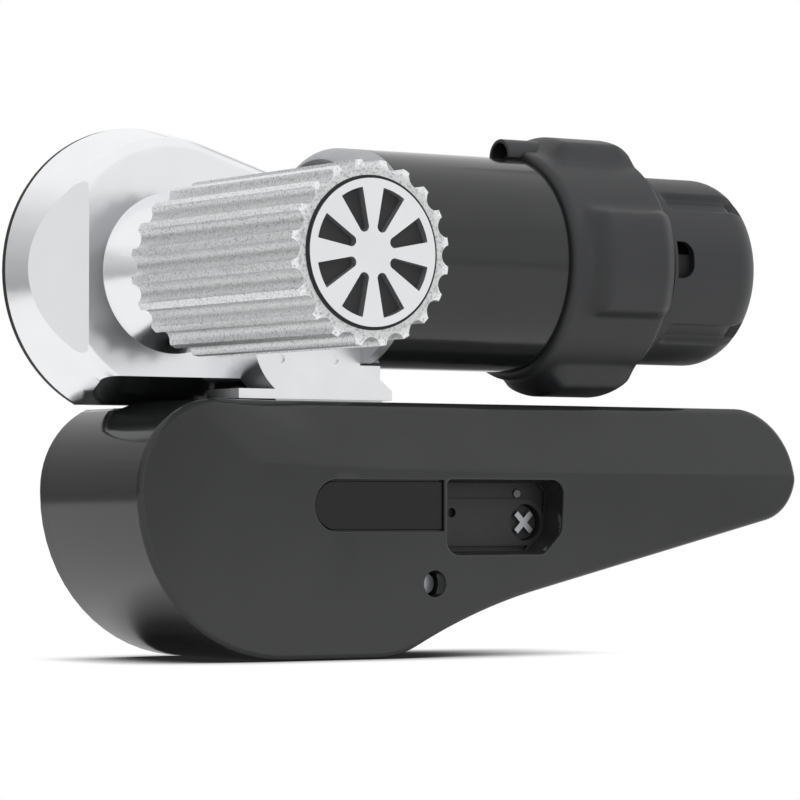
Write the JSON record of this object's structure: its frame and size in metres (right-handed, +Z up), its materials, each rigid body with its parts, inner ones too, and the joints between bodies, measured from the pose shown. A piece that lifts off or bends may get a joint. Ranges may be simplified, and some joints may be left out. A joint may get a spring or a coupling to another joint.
{
  "type": "caravan motor mover",
  "caption": "Caravan motor mover: a fluted drive roller on a worm-geared motor, carried on a sliding carriage in a moulded cover that bolts to the chassis.",
  "frame": {"origin": "centre of the chassis bolt pattern, on the rear mounting face of the plate", "axes": "+Z up, +X along the cover towards its tail, +Y towards the chassis; the roller points forward along -Y"},
  "size_m": [0.3063, 0.171, 0.1885],
  "materials": {
    "cover_gloss": "gloss moulded",
    "black_plastic": "satin moulded",
    "shroud_plastic": "satin moulded",
    "motor_paint": "gloss paint",
    "polished_alloy": "polished",
    "cast_alloy": "fine machined",
    "roller_alloy": "grit coated",
    "painted_steel": "satin paint",
    "zinc_steel": "zinc plated",
    "black_steel": "black oxide",
    "bronze": "sintered",
    "seal_rubber": "matte",
    "magnet_iron": "coated",
    "brush_carbon": "pressed carbon",
    "copper": "bare copper"
  },
  "bodies": {
    "chassis_side": {"mount_plate": "painted_steel", "weld_nuts": "zinc_steel", "cover_shell": "cover_gloss", "cover_screws": "zinc_steel", "cover_post": "zinc_steel", "badge_plate": "black_plastic", "pocket_tray": "black_plastic", "lock_pip": "cast_alloy", "rod_brackets": "painted_steel", "plate_screws": "zinc_steel", "guide_rods": "zinc_steel", "engage_bracket": "painted_steel", "engage_bushes": "bronze"},
    "engaging_shaft": {"engage_shaft": "zinc_steel", "engage_pinion": "zinc_steel"},
    "drive_carriage": {"carriage": "cast_alloy", "carriage_bushes": "bronze", "rack": "zinc_steel", "rack_screws": "black_steel", "drive_foot": "cast_alloy", "foot_screws": "black_steel", "housing_screws": "black_steel", "gear_housing": "polished_alloy", "gear_gasket": "seal_rubber", "gear_cover": "polished_alloy", "gear_screws": "zinc_steel", "roller_bearings": "zinc_steel", "counter_bushes": "bronze", "worm_bush": "bronze", "shaft_seal": "seal_rubber", "end_shield": "polished_alloy", "shield_screws": "zinc_steel", "motor_tube": "motor_paint", "magnets": "magnet_iron", "motor_bearings": "zinc_steel", "brush_holder": "black_plastic", "brushes": "brush_carbon", "motor_shroud": "shroud_plastic", "motor_end_cap": "shroud_plastic"},
    "roller_spindle": {"roller": "roller_alloy", "roller_cap": "roller_alloy", "cap_backing": "black_plastic", "cap_seal": "seal_rubber", "roller_shaft": "zinc_steel", "roller_bolt": "zinc_steel", "shaft_keys": "black_steel", "main_gear": "zinc_steel"},
    "intermediate_shaft": {"counter_shaft": "zinc_steel", "worm_wheel": "bronze", "spur_pinion": "zinc_steel"},
    "armature": {"armature_shaft": "zinc_steel", "worm": "zinc_steel", "armature_core": "magnet_iron", "windings": "copper", "commutator": "copper"}
  },
  "joints": [
    {"name": "carriage_slide", "type": "slide", "parent": "chassis_side", "child": "drive_carriage", "axis": [-1, 0, 0], "range_m": [0, 0.03]},
    {"name": "engage_turn", "type": "hinge", "parent": "chassis_side", "child": "engaging_shaft", "pos_m": [0.075, -0.03, -0.0024], "axis": [0, -1, 0], "range_deg": [0, 144]},
    {"name": "roller_spin", "type": "hinge", "parent": "drive_carriage", "child": "roller_spindle", "pos_m": [-0.062, -0.1, 0.084], "axis": [0, 1, 0], "continuous": true},
    {"name": "counter_spin", "type": "hinge", "parent": "drive_carriage", "child": "intermediate_shaft", "pos_m": [-0.017, -0.03, 0.062], "axis": [0, 1, 0], "continuous": true},
    {"name": "armature_spin", "type": "hinge", "parent": "drive_carriage", "child": "armature", "pos_m": [0.05, -0.051, 0.091], "axis": [1, 0, 0], "continuous": true}
  ],
  "couplings": [
    {"joint": "engage_turn", "follows": "carriage_slide", "rad_per_m": 83.333},
    {"joint": "counter_spin", "follows": "roller_spin", "ratio": -3.5455},
    {"joint": "armature_spin", "follows": "roller_spin", "ratio": 63.818}
  ]
}
